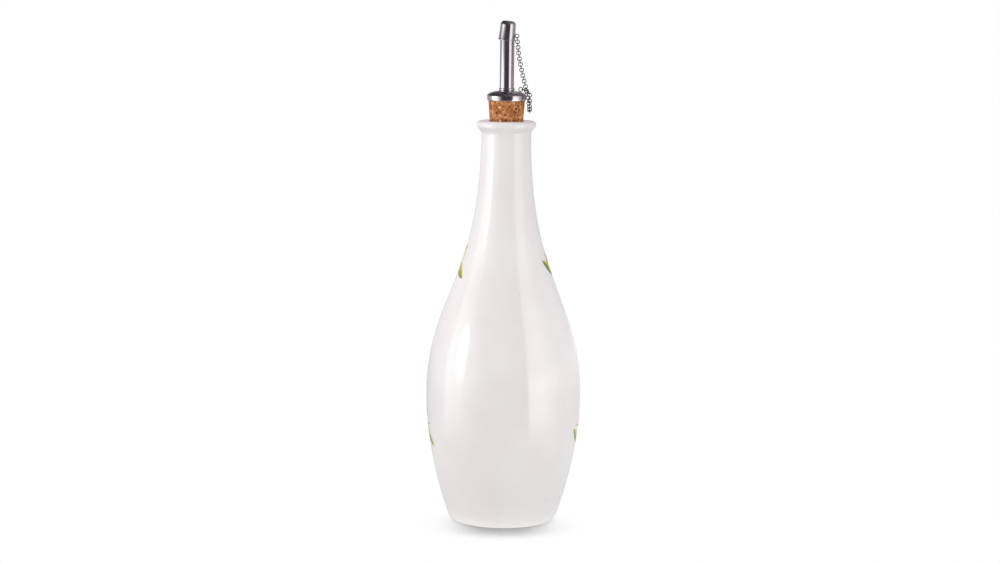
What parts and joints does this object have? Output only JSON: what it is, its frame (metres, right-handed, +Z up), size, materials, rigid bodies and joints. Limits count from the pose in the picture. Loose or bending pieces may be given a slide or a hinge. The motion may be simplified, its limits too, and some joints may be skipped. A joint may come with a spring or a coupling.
{
  "type": "oil bottle",
  "caption": "Slender white ceramic oil bottle with a rolled lip, closed by a tapered cork that carries a domed flange, a steel pouring spout and a thimble cap on a fine chain.",
  "frame": {"origin": "the middle of the foot, on the surface that the bottle stands on", "axes": "+Z up along the bottle and the spout; the chain hangs towards +X and a little towards -Y"},
  "size_m": [0.088, 0.088, 0.2851],
  "materials": {
    "glaze": "glossy white glaze",
    "cork": "matt pressed cork granules",
    "steel": "polished",
    "chain_steel": "bright wire"
  },
  "bodies": {
    "bottle": {"bottle_body": "glaze"},
    "stopper": {"cork_stopper": "cork"},
    "pourer": {"pourer_flange": "steel", "spout_collar": "steel", "pour_spout": "steel", "flange_eye": "chain_steel", "chain_link_34": "chain_steel", "chain_link_35": "chain_steel", "chain_link_36": "chain_steel", "chain_link_37": "chain_steel"},
    "cap": {"pour_cap": "steel", "cap_eye": "chain_steel"},
    "chain_run": {"chain_link_01": "chain_steel", "chain_link_02": "chain_steel", "chain_link_03": "chain_steel", "chain_link_04": "chain_steel", "chain_link_05": "chain_steel", "chain_link_06": "chain_steel", "chain_link_07": "chain_steel", "chain_link_08": "chain_steel", "chain_link_09": "chain_steel", "chain_link_10": "chain_steel", "chain_link_11": "chain_steel", "chain_link_12": "chain_steel", "chain_link_13": "chain_steel", "chain_link_14": "chain_steel", "chain_link_15": "chain_steel", "chain_link_16": "chain_steel", "chain_link_17": "chain_steel", "chain_link_18": "chain_steel", "chain_link_19": "chain_steel", "chain_link_20": "chain_steel"},
    "chain_drop": {"chain_link_21": "chain_steel", "chain_link_22": "chain_steel", "chain_link_23": "chain_steel", "chain_link_24": "chain_steel", "chain_link_25": "chain_steel"},
    "loop_link_26": {"chain_link_26": "chain_steel"},
    "loop_link_27": {"chain_link_27": "chain_steel"},
    "loop_link_28": {"chain_link_28": "chain_steel"},
    "loop_link_29": {"chain_link_29": "chain_steel"},
    "loop_link_30": {"chain_link_30": "chain_steel"},
    "loop_link_31": {"chain_link_31": "chain_steel"},
    "loop_link_32": {"chain_link_32": "chain_steel"},
    "loop_link_33": {"chain_link_33": "chain_steel"}
  },
  "joints": [
    {"name": "stopper_pull", "type": "slide", "parent": "bottle", "child": "stopper", "axis": [0, 0, 1], "range_m": [0, 0.03]},
    {"name": "pourer_turn", "type": "hinge", "parent": "stopper", "child": "pourer", "pos_m": [0, 0, 0.2402], "axis": [0, 0, 1], "continuous": true},
    {"name": "cap_lift", "type": "slide", "parent": "pourer", "child": "cap", "axis": [0.0814, -0.0379, 0.996], "range_m": [0, 0.01]},
    {"name": "chain_run_swing", "type": "hinge", "parent": "cap", "child": "chain_run", "pos_m": [0.00554, -0.00258, 0.27565], "axis": [0.4226, 0.9063, 0], "range_deg": [-0.5, 3]},
    {"name": "chain_drop_swing", "type": "hinge", "parent": "chain_run", "child": "chain_drop", "pos_m": [0.01157, -0.00539, 0.24448], "axis": [0.4226, 0.9063, 0], "range_deg": [-6, 0.5]},
    {"name": "loop_turn_26", "type": "hinge", "parent": "pourer", "child": "loop_link_26", "pos_m": [0.01291, 0.02844, 0.23913], "axis": [1, 0, 0], "range_deg": [-18, 1]},
    {"name": "loop_turn_27", "type": "hinge", "parent": "pourer", "child": "loop_link_27", "pos_m": [0.01291, 0.00287, 0.23956], "axis": [1, 0, 0], "range_deg": [-66, 1]},
    {"name": "loop_turn_28", "type": "hinge", "parent": "pourer", "child": "loop_link_28", "pos_m": [0.01291, 0.00109, 0.23916], "axis": [1, 0, 0], "range_deg": [-84, 1]},
    {"name": "loop_turn_29", "type": "hinge", "parent": "pourer", "child": "loop_link_29", "pos_m": [0.01291, 0.00047, 0.23914], "axis": [1, 0, 0], "range_deg": [-87, 1]},
    {"name": "loop_turn_30", "type": "hinge", "parent": "pourer", "child": "loop_link_30", "pos_m": [0.01291, -0.00067, 0.23872], "axis": [1, 0, 0], "range_deg": [-122, 1]},
    {"name": "loop_turn_31", "type": "hinge", "parent": "pourer", "child": "loop_link_31", "pos_m": [0.01291, -0.0003, 0.23824], "axis": [1, 0, 0], "range_deg": [-52, 1]},
    {"name": "loop_turn_32", "type": "hinge", "parent": "pourer", "child": "loop_link_32", "pos_m": [0.01291, -0.0036, 0.24398], "axis": [1, 0, 0], "range_deg": [-1, 11]},
    {"name": "loop_turn_33", "type": "hinge", "parent": "pourer", "child": "loop_link_33", "pos_m": [0.01291, -0.00021, 0.24026], "axis": [1, 0, 0], "range_deg": [-19, 1]}
  ],
  "couplings": [
    {"joint": "chain_run_swing", "follows": "cap_lift", "rad_per_m": 3.941},
    {"joint": "chain_drop_swing", "follows": "cap_lift", "rad_per_m": -8.7266},
    {"joint": "loop_turn_26", "follows": "cap_lift", "rad_per_m": -29.07},
    {"joint": "loop_turn_27", "follows": "cap_lift", "rad_per_m": -111.63},
    {"joint": "loop_turn_28", "follows": "cap_lift", "rad_per_m": -142.71},
    {"joint": "loop_turn_29", "follows": "cap_lift", "rad_per_m": -148},
    {"joint": "loop_turn_30", "follows": "cap_lift", "rad_per_m": -208.79},
    {"joint": "loop_turn_31", "follows": "cap_lift", "rad_per_m": -87.799},
    {"joint": "loop_turn_32", "follows": "cap_lift", "rad_per_m": 17.263},
    {"joint": "loop_turn_33", "follows": "cap_lift", "rad_per_m": -30.862}
  ]
}
